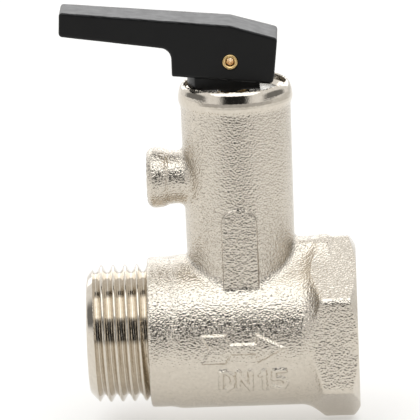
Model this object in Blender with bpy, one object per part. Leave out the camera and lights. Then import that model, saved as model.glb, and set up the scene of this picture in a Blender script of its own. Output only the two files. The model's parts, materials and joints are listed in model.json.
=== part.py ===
"""Half-inch pressure relief valve for a storage water heater, as separate closed pieces.

Frame: metres, +Z up the tower, +X out of the female (heater) port, whose mouth is the origin.
Dimensions below are millimetres. The lever is drawn at rest, with the valve shut.
"""

import math

import bmesh
import bpy
from mathutils import Matrix, Vector

MM = 0.001
WELD = 0.0005                 # millimetres, joins the doubled points a boolean leaves
STEPS = 40                    # facets round the outside of the casting
INNER = 30                    # facets round bores and large inner pieces
FINE = 20                     # facets round small pieces

# Barrel, along X
X_MALE = -41.2                # end face of the male (supply) port
X_THREAD = -31.9              # end of the male thread, start of the collar
X_COLLAR = -28.1
X_HEX = -6.7                  # back of the hex flats; the heater port face is at x = 0
R_COLLAR = 11.5
R_BARREL = 11.8
R_BORE = 7.0
R_CARTRIDGE_BORE = 7.6
X_CARTRIDGE_STOP = -25.2
SOCKET_DEPTH = 11.0
HEX_APOTHEM = 12.45
R_HEX_CORNER = 14.2
HEX_CHAMFER = 1.05

# G1/2 pipe thread
PITCH = 1.814
R_MAJOR = 10.48
R_MINOR = 9.32
CREST = 0.36                  # width of the thread's crest
X_CREST = -38.93              # where a crest of the male thread crosses the top
FLANK = math.radians(27.5)

# Tower, along Z
X_TOWER = -17.45
R_TOWER = 8.3
Z_RIM = 39.05
R_LIP = 8.7
Z_LIP = 35.7
LIP_ROUND = 0.75
R_MOUTH = 7.7
R_PLUG_BORE = 7.05
R_CHAMBER = 6.45
Z_CHAMBER = (11.0, 31.0)
Z_MOUTH = 37.9
R_SEAT = (3.2, 4.1)           # water hole and outside of the seat ring
Z_SEAT = 12.5
FOOT_FILLET = 1.7

# Drain spigot, along -X from the tower
Z_SPIGOT = 24.3
SPIGOT_LENGTH = 13.9
SPIGOT_BEAD = 10.9            # start of the hose bead, from the tower axis
R_SPIGOT_NECK = 4.1
R_SPIGOT_BEAD = 4.6
R_SPIGOT_BORE = 2.6

# Lever and its pin
Z_PIN = 42.8
X_PIN = X_TOWER - 0.5                      # the eye is a little off the spindle's axis
R_PIN = 1.2
R_PIN_HOLE = 0.55
CLEARANCE = 0.3
LEVER_WIDTHS = (-25.8, 7.2, 7.35, 9.2)     # x and full width at the tip, then at the back
R_EYE = 2.6
TONGUE = (2.2, 1.9)                        # half width along X, half thickness along Y
R_SPINDLE = 2.0

# Relief parts inside the tower
Z_PLUG = (33.4, 37.6)
R_PLUG = 6.75
R_HOLDER = 5.7
SPRING_MEAN = 4.3
SPRING_WIRE = 0.6                          # radius of the wire
SPRING_Z = (17.3, 32.4)

# Check valve cartridge inside the male port
X_CARTRIDGE = (-37.3, -25.5)
R_CARTRIDGE = 7.25
R_CARTRIDGE_INNER = 6.2
X_CHECK_SEAT = -35.7
R_CHECK_HOLE = 4.0
GUIDE = (7.4, 9.4)                         # from the seat
AT_CHECK = (X_CHECK_SEAT, 0, 0)


def clear_scene():
    for obj in list(bpy.data.objects):
        bpy.data.objects.remove(obj, do_unlink=True)


def principled(name, colour, metallic, roughness):
    material = bpy.data.materials.new(name)
    material.use_nodes = True
    shader = material.node_tree.nodes["Principled BSDF"]
    shader.inputs["Base Color"].default_value = (*colour, 1.0)
    shader.inputs["Metallic"].default_value = metallic
    shader.inputs["Roughness"].default_value = roughness
    material.diffuse_color = (*colour, 1.0)
    return material


def make_object(name, verts, faces):
    """A mesh object in millimetres, with its faces turned outward; finish() turns it into metres."""
    mesh = bpy.data.meshes.new(name)
    mesh.from_pydata(verts, [], faces)
    bm = bmesh.new()
    bm.from_mesh(mesh)
    bmesh.ops.recalc_face_normals(bm, faces=bm.faces)
    bm.to_mesh(mesh)
    bm.free()
    obj = bpy.data.objects.new(name, mesh)
    bpy.context.scene.collection.objects.link(obj)
    return obj


def along(axis, radius, angle, distance, centre):
    """A point at this radius, angle and distance along an X, Y or Z axis through centre."""
    c, s = radius * math.cos(angle), radius * math.sin(angle)
    offset = {"X": (distance, c, s), "Y": (c, distance, s), "Z": (c, s, distance)}[axis]
    return tuple(a + b for a, b in zip(offset, centre))


def lathe(name, profile, axis="Z", centre=(0, 0, 0), steps=STEPS, closed=False, phase=0.0):
    """Revolves (radius, distance) points. An open profile starts and ends on the axis."""
    verts, rings = [], []
    for radius, distance in profile:
        start = len(verts)
        count = 1 if radius < 1e-9 else steps
        for i in range(count):
            verts.append(along(axis, radius, phase + math.tau * i / steps, distance, centre))
        rings.append([start + (i % count) for i in range(steps)])
    faces = []
    pairs = list(zip(rings, rings[1:])) + ([(rings[-1], rings[0])] if closed else [])
    for a, b in pairs:
        for i in range(steps):
            j = (i + 1) % steps
            loop = list(dict.fromkeys([a[i], a[j], b[j], b[i]]))
            if len(loop) > 2:
                faces.append(loop)
    return make_object(name, verts, faces)


def prism(name, outline, plane, low, high):
    """Extrudes an outline. plane XZ takes (x, z) points along Y; YZ takes (y, z) along X."""
    def place(point, depth):
        return (point[0], depth, point[1]) if plane == "XZ" else (depth, point[0], point[1])
    count = len(outline)
    verts = [place(p, low) for p in outline] + [place(p, high) for p in outline]
    faces = [list(range(count)), list(range(2 * count - 1, count - 1, -1))]
    for i in range(count):
        j = (i + 1) % count
        faces.append([i, j, count + j, count + i])
    return make_object(name, verts, faces)


def box(name, low, high):
    outline = [(low[0], low[2]), (high[0], low[2]), (high[0], high[2]), (low[0], high[2])]
    return prism(name, outline, "XZ", low[1], high[1])


def combine(target, other, operation, solver="EXACT"):
    """Applies a boolean with the other object, which is then removed."""
    modifier = target.modifiers.new("combine", "BOOLEAN")
    modifier.operation = operation
    modifier.solver = solver
    modifier.object = other
    graph = bpy.context.evaluated_depsgraph_get()
    mesh = bpy.data.meshes.new_from_object(target.evaluated_get(graph))
    bm = bmesh.new()
    bm.from_mesh(mesh)
    bmesh.ops.remove_doubles(bm, verts=bm.verts, dist=WELD)
    bmesh.ops.dissolve_degenerate(bm, edges=bm.edges, dist=WELD)
    bm.to_mesh(mesh)
    bm.free()
    target.modifiers.clear()
    target.data = mesh
    bpy.data.objects.remove(other, do_unlink=True)
    return target


def unite(target, *others):
    for other in others:
        combine(target, other, "UNION")
    return target


def cut(target, *others):
    for other in others:
        combine(target, other, "DIFFERENCE")
    return target


def finish(obj, material, origin=(0, 0, 0), smooth_degrees=35.0):
    """Turns the mesh into metres about its origin, and sets its material and smooth shading."""
    obj.data.transform(Matrix.Scale(MM, 4) @ Matrix.Translation(-Vector(origin)))
    obj.location = Vector(origin) * MM
    obj.data.materials.clear()
    obj.data.materials.append(material)
    bm = bmesh.new()
    bm.from_mesh(obj.data)
    for face in bm.faces:
        face.smooth = True
    limit = math.radians(smooth_degrees)
    for edge in bm.edges:
        edge.smooth = len(edge.link_faces) == 2 and edge.calc_face_angle(0.0) < limit
    bm.to_mesh(obj.data)
    bm.free()
    return obj


def arc(centre, radius, start, end, count):
    """Points on an arc in degrees, both ends included."""
    return [
        (centre[0] + radius * math.cos(math.radians(start + (end - start) * i / count)),
         centre[1] + radius * math.sin(math.radians(start + (end - start) * i / count)))
        for i in range(count + 1)
    ]


def rounded(points, segments=4):
    """An outline of (x, y, corner radius) points with its corners rounded."""
    outline = []
    for i, (x, y, radius) in enumerate(points):
        corner = Vector((x, y))
        before = Vector(points[i - 1][:2]) - corner
        after = Vector(points[(i + 1) % len(points)][:2]) - corner
        if radius <= 0:
            outline.append((x, y))
            continue
        half = before.angle(after) / 2
        reach = radius / math.tan(half)
        centre = corner + (before.normalized() + after.normalized()).normalized() * radius / math.sin(half)
        start, end = corner + before.normalized() * reach, corner + after.normalized() * reach
        for k in range(segments + 1):
            mix = (start - centre).lerp(end - centre, k / segments)
            turn = (start - centre).angle_signed(end - centre) * k / segments
            spoke = Matrix.Rotation(-turn, 2) @ (start - centre)
            outline.append(tuple(centre + spoke) if mix.length > 0 else (x, y))
    return outline


def thread_ridge(name, r_root, r_crest, span, x_top, fades, limit):
    """A right-handed helical thread ridge about X, buried 0.15 mm in its root.

    span holds its first and last x, x_top is where a crest crosses the top, and fades tells which
    ends fade out. limit gives the largest (or, inside a bore, the smallest) crest radius at each x.
    """
    outward = 1 if r_crest > r_root else -1
    depth = abs(r_crest - r_root)
    base = r_root - outward * 0.15
    half_crest = CREST / 2
    half_base = half_crest + (depth + 0.15) * math.tan(FLANK)
    count = round((span[1] - span[0]) / PITCH * FINE)
    verts = []
    for i in range(count + 1):
        x = span[0] + PITCH * i / FINE
        angle = math.pi / 2 + math.tau * (x - x_top) / PITCH
        fade = 1.0
        if fades[0]:
            fade = min(fade, (i + 0.5) / (FINE / 3))
        if fades[1]:
            fade = min(fade, (count - i + 0.5) / (FINE / 3))
        crest = base + outward * (depth + 0.15) * fade
        crest = min(crest, limit(x)) if outward > 0 else max(crest, limit(x))
        for radius, shift in ((base, -half_base), (crest, -half_crest), (crest, half_crest), (base, half_base)):
            verts.append(along("X", radius, angle, x + shift, (0, 0, 0)))
    faces = [[0, 1, 2, 3], [4 * count + k for k in (3, 2, 1, 0)]]
    for i in range(count):
        for k in range(4):
            n = (k + 1) % 4
            faces.append([4 * i + k, 4 * i + n, 4 * i + 4 + n, 4 * i + 4 + k])
    return make_object(name, verts, faces)


def foot_fillet(name):
    """The ring of metal that rounds the corner between the tower and the barrel."""
    verts, rings = [], []
    for i in range(STEPS):
        angle = math.tau * (i + 0.5) / STEPS
        side = math.sin(angle)

        def height(rho):
            return math.sqrt(R_BARREL ** 2 - (rho * side) ** 2)

        def centre_gap(rho, z):
            slope = -rho * side ** 2 / height(rho)
            return (z - height(rho)) / math.sqrt(1 + slope ** 2)

        rho = R_TOWER + FOOT_FILLET
        low, high = height(R_TOWER) - 4, height(R_TOWER) + 4
        for _ in range(40):
            middle = (low + high) / 2
            low, high = (middle, high) if centre_gap(rho, middle) < FOOT_FILLET else (low, middle)
        z = (low + high) / 2
        slope = math.atan2(-rho * side ** 2, height(rho))
        end = -90 + math.degrees(slope)
        curve = arc((rho, z), FOOT_FILLET + 0.02, 180, 360 + end, 4)
        toe = (curve[-1][0], curve[-1][1] - 0.7)
        section = [(R_TOWER - 0.8, curve[0][1])] + curve + [toe, (R_TOWER - 0.8, height(R_TOWER) - 1.2)]
        start = len(verts)
        for radius, level in section:
            verts.append(along("Z", radius, angle, level, (X_TOWER, 0, 0)))
        rings.append(range(start, len(verts)))
    faces = []
    for i in range(STEPS):
        a, b = rings[i], rings[(i + 1) % STEPS]
        for k in range(len(a)):
            n = (k + 1) % len(a)
            faces.append([a[k], a[n], b[n], b[k]])
    return make_object(name, verts, faces)


def barrel():
    profile = [
        (0, X_MALE), (R_MINOR - 0.55, X_MALE), (R_MINOR, X_MALE + 0.5), (R_MINOR, X_THREAD),
        (R_COLLAR - 0.6, X_THREAD), (R_COLLAR, X_THREAD + 0.6),
        (R_COLLAR, X_COLLAR), (R_BARREL, X_COLLAR + 0.5), (R_BARREL, X_HEX - 1.7),
        (R_BARREL + 0.15, X_HEX - 0.9), (HEX_APOTHEM - 0.15, X_HEX + 0.1),
        (HEX_APOTHEM - 0.15, X_HEX + 2), (0, X_HEX + 2),
    ]
    body = lathe("valve_body", profile, "X")

    def male_limit(x):
        return R_MINOR + 0.15 + max(0.0, x - X_MALE - 0.6) * 0.8

    ridge = thread_ridge("male_thread", R_MINOR, R_MAJOR, (X_MALE + 1.2, X_THREAD + 1.15), X_CREST,
                         (True, False), male_limit)
    return unite(body, ridge)


def port_hex():
    corner = HEX_APOTHEM / math.cos(math.pi / 6)
    outline = [(corner * math.sin(math.tau * i / 6), corner * math.cos(math.tau * i / 6)) for i in range(6)]
    shape = prism("port_hex", outline, "YZ", X_HEX, 0)
    envelope = lathe("hex_envelope", [
        (0, X_HEX - 1), (HEX_APOTHEM - 0.3, X_HEX - 1), (HEX_APOTHEM - 0.1, X_HEX), (R_HEX_CORNER, X_HEX + 1.2),
        (R_HEX_CORNER, -HEX_CHAMFER), (HEX_APOTHEM - 0.1, 0), (HEX_APOTHEM - 0.5, 1), (0, 1),
    ], "X", steps=48, phase=0.01)
    return combine(shape, envelope, "INTERSECT")


def hex_bridge():
    """The ridge of casting that joins the tower to the top of the hex."""
    outline = [(-3.4, 10.3), (3.4, 10.3), (2.1, 12.9), (0.6, 13.95), (-0.6, 13.95), (-2.1, 12.9)]
    return prism("hex_bridge", outline, "YZ", X_TOWER + R_TOWER - 1.5, X_HEX + 1.9)


def tower():
    edge = [(R_LIP - LIP_ROUND + x, Z_RIM - LIP_ROUND + z) for x, z in arc((0, 0), LIP_ROUND, 0, 90, 3)]
    return lathe("tower", [
        (0, 0), (R_TOWER, 0), (R_TOWER, Z_LIP - 0.5), (R_LIP - 0.12, Z_LIP + 0.3), (R_LIP, Z_LIP + 0.9),
        *edge, (0, Z_RIM),
    ], "Z", (X_TOWER, 0, 0))


def spigot():
    """The drain spigot with its hose bead, measured from the tower axis."""
    tip = [(r, -x) for x, r in arc((SPIGOT_LENGTH - 0.9, R_SPIGOT_BEAD - 0.9), 0.9, 90, 0, 3)]
    profile = [(0, -5.5), (R_SPIGOT_NECK, -5.5), (R_SPIGOT_NECK, -SPIGOT_BEAD),
               (R_SPIGOT_BEAD, -SPIGOT_BEAD - 0.7)]
    return lathe("spigot", profile + tip + [(0, -SPIGOT_LENGTH)], "X", (X_TOWER, 0, Z_SPIGOT), steps=FINE)


def front_pad():
    """The round-topped flat pad low on the front of the tower."""
    half, top, bottom = 2.7, 20.5, 6.5
    outline = [(X_TOWER - half, bottom)]
    outline += [(X_TOWER + x, top - half + z) for x, z in arc((0, 0), half, 180, 0, 10)]
    outline += [(X_TOWER + half, bottom)]
    return prism("front_pad", outline, "XZ", -R_TOWER - 0.07, -6.9)


def flow_arrow():
    """The raised arrow on the front of the barrel that points to the heater port."""
    x0, wide, narrow = -23.7, 2.15, 0.75
    points = [(x0, wide), (x0 + 3.5, wide), (x0 + 4.3, narrow), (x0 + 8.3, narrow), (x0 + 8.3, wide), (x0 + 12.4, 0)]
    points += [(x, -z) for x, z in reversed(points[:-1])] + [(x0 + 1.2, 0)]
    envelope = lathe("arrow_envelope", [(0, -30), (R_BARREL + 0.35, -30), (R_BARREL + 0.35, -8), (0, -8)], "X",
                     steps=48, phase=0.02)
    return combine(prism("flow_arrow", points, "XZ", -13, -9), envelope, "INTERSECT")


def waterway():
    """Everything bored along X: cartridge bore, through bore and female socket."""
    groove = X_CARTRIDGE[0] - 0.5
    return lathe("waterway", [
        (0, X_MALE - 1), (R_CARTRIDGE_BORE + 1.4, X_MALE - 1), (R_CARTRIDGE_BORE, X_MALE + 0.4),
        (R_CARTRIDGE_BORE, groove - 1.3), (R_CARTRIDGE_BORE + 0.6, groove - 1.3),
        (R_CARTRIDGE_BORE + 0.6, groove), (R_CARTRIDGE_BORE, groove),
        (R_CARTRIDGE_BORE, X_CARTRIDGE_STOP), (R_BORE, X_CARTRIDGE_STOP),
        (R_BORE, -SOCKET_DEPTH - 1.1), (R_MAJOR, -SOCKET_DEPTH + 0.8), (R_MAJOR, -0.7), (R_MAJOR + 0.75, 0),
        (R_MAJOR + 1.75, 1), (0, 1),
    ], "X", steps=INNER)


def tower_bore():
    """Spring chamber with the raised seat ring in its floor, then the plug bore and mouth."""
    floor, top = Z_CHAMBER
    return lathe("tower_bore", [
        (0, 3), (R_SEAT[0], 3), (R_SEAT[0], Z_SEAT), (R_SEAT[1] - 0.35, Z_SEAT), (R_SEAT[1], floor + 0.4),
        (R_SEAT[1] + 0.4, floor), (R_CHAMBER - 0.6, floor), (R_CHAMBER, floor + 0.6), (R_CHAMBER, top),
        (R_PLUG_BORE, top + 0.6), (R_PLUG_BORE, Z_MOUTH - 0.65), (R_MOUTH, Z_MOUTH), (R_MOUTH, Z_RIM - 0.3),
        (R_MOUTH + 0.2, Z_RIM), (R_MOUTH + 0.55, Z_RIM + 0.6), (0, Z_RIM + 0.6),
    ], "Z", (X_TOWER, 0, 0), steps=INNER)


def drain_bore():
    return lathe("drain_bore", [
        (0, -SPIGOT_LENGTH - 1), (R_SPIGOT_BORE + 1.3, -SPIGOT_LENGTH - 1), (R_SPIGOT_BORE, -SPIGOT_LENGTH + 0.3),
        (R_SPIGOT_BORE, -4), (0, -4),
    ], "X", (X_TOWER, 0, Z_SPIGOT), steps=FINE)


def valve_body():
    body = barrel()
    unite(body, port_hex(), tower(), foot_fillet("foot_fillet"), hex_bridge(), spigot(), front_pad(),
          flow_arrow())
    cut(body, waterway(), tower_bore(), drain_bore())

    def socket_limit(x):
        return R_MINOR + max(0.0, x + 1.0) * 0.9

    ridge = thread_ridge("socket_thread", R_MAJOR, R_MINOR, (-SOCKET_DEPTH + 2.0, -1.65), -0.9,
                         (True, True), socket_limit)
    return unite(body, ridge)


def adjusting_plug():
    """Slotted plug that holds the spring down and guides the spindle through its O-ring groove."""
    low, high = Z_PLUG
    hole, groove = R_SPINDLE + 0.25, R_SPINDLE + 1.5
    plug = lathe("adjusting_plug", [
        (hole, low), (R_PLUG - 0.4, low), (R_PLUG, low + 0.4), (R_PLUG, high - 0.4), (R_PLUG - 0.4, high),
        (hole + 0.3, high), (hole, high - 0.3), (hole, high - 1.2), (groove, high - 1.2), (groove, high - 2.7),
        (hole, high - 2.7),
    ], "Z", (X_TOWER, 0, 0), steps=INNER, closed=True)
    for side in (-1, 1):
        near, far = sorted((side * 4.4, side * 8))
        cut(plug, box("slot", (X_TOWER - 0.8, near, high - 0.9), (X_TOWER + 0.8, far, high + 1)))
    return plug


def ring(name, mean, wire, centre, axis, steps=FINE, around=10):
    profile = [(mean + r, d) for r, d in arc((0, 0), wire, 0, 360, around)[:-1]]
    return lathe(name, profile, axis, centre, steps=steps, closed=True)


def coil(name, mean, wire, turns, start, end, axis, centre, steps, around):
    """A compression spring with closed end turns, as one tube with flat ends."""
    low, high = start + wire, end - wire
    dead = 0.8
    pitch = 2 * wire + 0.06
    total = turns + 2 * dead
    count = round(total * steps)
    dead_rise = pitch * dead
    verts = []
    for i in range(count + 1):
        t = total * i / count
        if t < dead:
            level = low + pitch * t
        elif t > total - dead:
            level = high - pitch * (total - t)
        else:
            level = low + dead_rise + (high - low - 2 * dead_rise) * (t - dead) / turns
        for k in range(around):
            turn = math.tau * k / around
            radius = mean + wire * math.cos(turn)
            verts.append(along(axis, radius, math.tau * t, level + wire * math.sin(turn), centre))
    faces = [list(range(around)), list(range(len(verts) - 1, len(verts) - around - 1, -1))]
    for i in range(count):
        for k in range(around):
            n = (k + 1) % around
            a, b = around * i, around * (i + 1)
            faces.append([a + k, a + n, b + n, b + k])
    return make_object(name, verts, faces)


def spindle():
    """Turned rod whose top is flattened into a tongue with the pin's eye."""
    rod = lathe("spindle", [
        (0, 15.6), (1.3, 15.6), (1.6, 15.9), (1.6, 18.2), (R_SPINDLE, 18.6), (R_SPINDLE, 39.4), (0, 39.4),
    ], "Z", (X_TOWER, 0, 0), steps=FINE)
    half, thick = TONGUE
    outline = [(X_PIN - half, 38.2), (X_PIN + half, 38.2)]
    reach = math.degrees(math.acos(half / R_EYE))
    outline += [(X_PIN + x, Z_PIN + z) for x, z in arc((0, 0), R_EYE, -reach, 180 + reach, 20)]
    unite(rod, prism("tongue", outline, "XZ", -thick, thick))
    hole = lathe("eye", [(0, -4), (R_PIN + CLEARANCE, -4), (R_PIN + CLEARANCE, 4), (0, 4)], "Y",
                 (X_PIN, 0, Z_PIN), steps=FINE)
    return cut(rod, hole)


def disc_holder():
    """Cup that carries the sealing disc below and the spring above."""
    return lathe("disc_holder", [
        (0, 15.1), (4.6, 15.1), (4.6, 13.3), (R_HOLDER - 0.3, 13.3), (R_HOLDER, 13.6), (R_HOLDER, 16.7),
        (R_HOLDER - 0.3, 17.0), (3.3, 17.0), (3.0, 17.3), (3.0, 18.0), (2.0, 18.0), (2.0, 15.4), (0, 15.4),
    ], "Z", (X_TOWER, 0, 0), steps=INNER)


def seal_disc():
    return lathe("seal_disc", [
        (0, 12.8), (4.0, 12.8), (4.3, 13.1), (4.3, 14.8), (0, 14.8),
    ], "Z", (X_TOWER, 0, 0), steps=FINE)


def spring_washer():
    return lathe("spring_washer", [
        (2.5, 32.65), (5.2, 32.65), (5.2, 33.15), (2.5, 33.15),
    ], "Z", (X_TOWER, 0, 0), steps=FINE, closed=True)


def lever_pin():
    """Tubular rivet with both ends slightly flared."""
    half, flare = 4.62, 1.42
    return lathe("lever_pin", [
        (R_PIN_HOLE + 0.35, -half), (flare - 0.15, -half), (flare, -half + 0.12), (R_PIN, -half + 0.4),
        (R_PIN, half - 0.4), (flare, half - 0.12), (flare - 0.15, half), (R_PIN_HOLE + 0.35, half),
        (R_PIN_HOLE, half - 0.4), (R_PIN_HOLE, -half + 0.4),
    ], "Y", (X_PIN, 0, Z_PIN), steps=FINE, closed=True)


def lever_half_width(x):
    x0, w0, x1, w1 = LEVER_WIDTHS
    return (w0 + (w1 - w0) * (x - x0) / (x1 - x0)) / 2


def lever():
    """Moulded lever: a tapered handle and a forked cam head that turns on the pin."""
    outline = rounded([
        (-25.5, 8.25, 0.5), (-25.7, 4.55, 0.6), (-8.85, 2.15, 1.7), (-8.85, -2.0, 0.2), (6.3, -3.6, 0.8),
        (6.6, -2.25, 0), (7.25, 3.4, 0.6), (0.2, 5.55, 2.5),
    ])
    count = len(outline)
    inset, rim = 0.28, []
    for i, (x, z) in enumerate(outline):
        before, after = Vector(outline[i - 1]), Vector(outline[(i + 1) % count])
        tangent = (after - before).normalized()
        inward = Vector((-tangent.y, tangent.x)) * inset
        rim.append((x + inward.x, z + inward.y))
    layers = []
    for side in (-1, 1):
        flat = [(x, side * lever_half_width(x), z) for x, z in rim]
        edge = [(x, side * (lever_half_width(x) - inset), z) for x, z in outline]
        layers += [flat, edge] if side < 0 else [edge, flat]
    verts = [(X_PIN + x, y, Z_PIN + z) for layer in layers for x, y, z in layer]
    faces = [list(range(count)), list(range(4 * count - 1, 3 * count - 1, -1))]
    for layer in range(3):
        for i in range(count):
            j = (i + 1) % count
            a = layer * count
            faces.append([a + i, a + j, a + count + j, a + count + i])
    body = make_object("lever", verts, faces)
    slot = [(-2.95, -6), (9, -6), (9, 2.5), (1.57, 2.5)] + arc((0, 0), 2.95, 62, 180, 8)
    slot = [(X_PIN + x, Z_PIN + z) for x, z in slot]
    cut(body, prism("slot", slot, "XZ", -TONGUE[1] - CLEARANCE, TONGUE[1] + CLEARANCE))
    hole = [(0, -6), (R_PIN + CLEARANCE, -6), (R_PIN + CLEARANCE, 6), (0, 6)]
    cut(body, lathe("hole", hole, "Y", (X_PIN, 0, Z_PIN), steps=FINE))
    sinks = [(0, -6), (1.75, -6), (1.75, -4.0), (1.2, -3.5), (0, -3.5)]
    cut(body, lathe("sink_front", sinks, "Y", (X_PIN, 0, Z_PIN), steps=FINE))
    cut(body, lathe("sink_back", [(r, -y) for r, y in sinks], "Y", (X_PIN, 0, Z_PIN), steps=FINE))
    pocket = rounded([(-24.0, 0.9, 0), (-24.0, 6.4, 0.4), (-12.2, 4.9, 0.4), (-12.2, 0.9, 0)])
    pocket = [(X_PIN + x, Z_PIN + z) for x, z in pocket]
    return cut(body, prism("pocket", pocket, "XZ", -2.4, 2.4))


def check_housing():
    """Plastic sleeve of the check valve, with its seat at the supply end and an outer O-ring groove."""
    first, last = (x - X_CHECK_SEAT for x in X_CARTRIDGE)
    outer, groove, inner = R_CARTRIDGE, R_CARTRIDGE - 0.95, R_CARTRIDGE_INNER
    return lathe("check_housing", [
        (R_CHECK_HOLE, first), (outer - 0.4, first), (outer, first + 0.4), (outer, 0.8), (groove, 0.8),
        (groove, 2.7), (outer, 2.7), (outer, last), (inner, last), (inner, 3.4), (inner - 0.5, 3.8),
        (inner - 0.5, -0.4), (R_CHECK_HOLE + 0.9, -0.4), (R_CHECK_HOLE + 0.7, 0), (R_CHECK_HOLE, 0),
    ], "X", AT_CHECK, steps=INNER, closed=True)


def check_guide():
    """Four-armed guide for the poppet's stem."""
    x0, x1 = GUIDE
    guide = lathe("check_guide", [(5.0, x0), (5.9, x0), (5.9, x1), (5.0, x1)], "X", AT_CHECK, FINE, True)
    hub = lathe("hub", [(0, x0 - 0.2), (2.7, x0 - 0.2), (2.7, x1), (0, x1)], "X", AT_CHECK, FINE)
    left, right = X_CHECK_SEAT + x0, X_CHECK_SEAT + x1
    arms = [box("arm_y", (left + 0.2, -5.4, -0.6), (right - 0.2, 5.4, 0.6)),
            box("arm_z", (left + 0.3, -0.6, -5.4), (right - 0.3, 0.6, 5.4))]
    unite(guide, hub, *arms)
    bore = [(0, x0 - 2), (1.45, x0 - 2), (1.45, x1 + 2), (0, x1 + 2)]
    return cut(guide, lathe("bore", bore, "X", AT_CHECK, FINE))


def check_poppet():
    """Mushroom disc and stem that close the supply side."""
    return lathe("check_poppet", [
        (0, 0.7), (5.0, 0.7), (5.2, 0.9), (5.2, 1.7), (5.0, 1.9), (1.4, 1.9), (1.15, 2.2), (1.15, 12.1),
        (0.9, 12.4), (0, 12.4),
    ], "X", AT_CHECK, FINE)


def check_seal():
    return lathe("check_seal", [(3.2, 0.15), (5.0, 0.15), (5.0, 0.55), (3.2, 0.55)], "X", AT_CHECK, FINE, True)


def check_retainer():
    """Open wire ring that keeps the cartridge in its bore."""
    x, gap, count, around = X_CARTRIDGE[0] - 1.1, 38.0, 36, 8
    mean, wire = R_CARTRIDGE_BORE - 0.25, 0.5
    verts = []
    for i in range(count + 1):
        angle = math.radians(-90 + gap / 2 + (360 - gap) * i / count)
        for k in range(around):
            turn = math.tau * k / around
            verts.append(along("X", mean + wire * math.cos(turn), angle, x + wire * math.sin(turn), (0, 0, 0)))
    faces = [list(range(around)), list(range(len(verts) - 1, len(verts) - around - 1, -1))]
    for i in range(count):
        for k in range(around):
            n = (k + 1) % around
            faces.append([around * i + k, around * i + n, around * (i + 1) + n, around * (i + 1) + k])
    return make_object("check_retainer", verts, faces)


def build():
    clear_scene()
    nickel = principled("nickel_plated_brass", (0.66, 0.63, 0.58), 1.0, 0.32)
    plug_nickel = principled("plug_nickel", (0.72, 0.71, 0.68), 1.0, 0.25)
    brass = principled("brass", (0.78, 0.56, 0.26), 1.0, 0.28)
    holder_brass = principled("holder_brass", (0.72, 0.52, 0.25), 1.0, 0.35)
    rod_brass = principled("rod_brass", (0.75, 0.55, 0.28), 1.0, 0.3)
    steel = principled("spring_steel", (0.6, 0.61, 0.62), 1.0, 0.3)
    check_steel = principled("check_spring_steel", (0.62, 0.63, 0.64), 1.0, 0.28)
    ring_steel = principled("retainer_steel", (0.58, 0.59, 0.6), 1.0, 0.35)
    washer_steel = principled("washer_steel", (0.64, 0.64, 0.65), 1.0, 0.35)
    black = principled("lever_plastic", (0.012, 0.012, 0.013), 0.0, 0.38)
    rubbers = {
        name: principled(name, (0.02, 0.02, 0.021), 0.0, 0.7)
        for name in ("disc_rubber", "spindle_rubber", "cartridge_rubber", "poppet_rubber")
    }
    white = principled("housing_plastic", (0.8, 0.8, 0.77), 0.0, 0.45)
    guide_white = principled("guide_plastic", (0.78, 0.78, 0.75), 0.0, 0.45)
    poppet_white = principled("poppet_plastic", (0.75, 0.76, 0.75), 0.0, 0.42)
    on_tower, at_pin = (X_TOWER, 0, Z_SEAT), (X_PIN, 0, Z_PIN)

    finish(valve_body(), nickel, smooth_degrees=30)
    finish(adjusting_plug(), plug_nickel, on_tower)
    groove_middle = Z_PLUG[1] - 1.95
    finish(ring("spindle_o_ring", R_SPINDLE + 0.78, 0.58, (X_TOWER, 0, groove_middle), "Z"),
           rubbers["spindle_rubber"], on_tower)
    finish(spring_washer(), washer_steel, on_tower)
    finish(coil("relief_spring", SPRING_MEAN, SPRING_WIRE, 5.0, *SPRING_Z, "Z", (X_TOWER, 0, 0), 18, 7),
           steel, on_tower, 60)
    finish(spindle(), rod_brass, on_tower)
    finish(disc_holder(), holder_brass, on_tower)
    finish(seal_disc(), rubbers["disc_rubber"], on_tower)
    finish(lever_pin(), brass, at_pin)
    finish(lever(), black, at_pin)
    finish(check_housing(), white, AT_CHECK)
    finish(ring("check_o_ring", R_CARTRIDGE - 0.35, 0.56, (X_CHECK_SEAT + 1.75, 0, 0), "X", steps=INNER, around=8),
           rubbers["cartridge_rubber"], AT_CHECK)
    finish(check_guide(), guide_white, AT_CHECK)
    finish(coil("check_spring", 1.95, 0.25, 4.0, 2.1, GUIDE[0] - 0.4, "X", AT_CHECK, 14, 6), check_steel,
           AT_CHECK, 60)
    finish(check_poppet(), poppet_white, AT_CHECK)
    finish(check_seal(), rubbers["poppet_rubber"], AT_CHECK)
    finish(check_retainer(), ring_steel, AT_CHECK, 60)


build()
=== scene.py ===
import json
import math

import bmesh
import bpy
import numpy as np
from mathutils import Matrix, Vector

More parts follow.
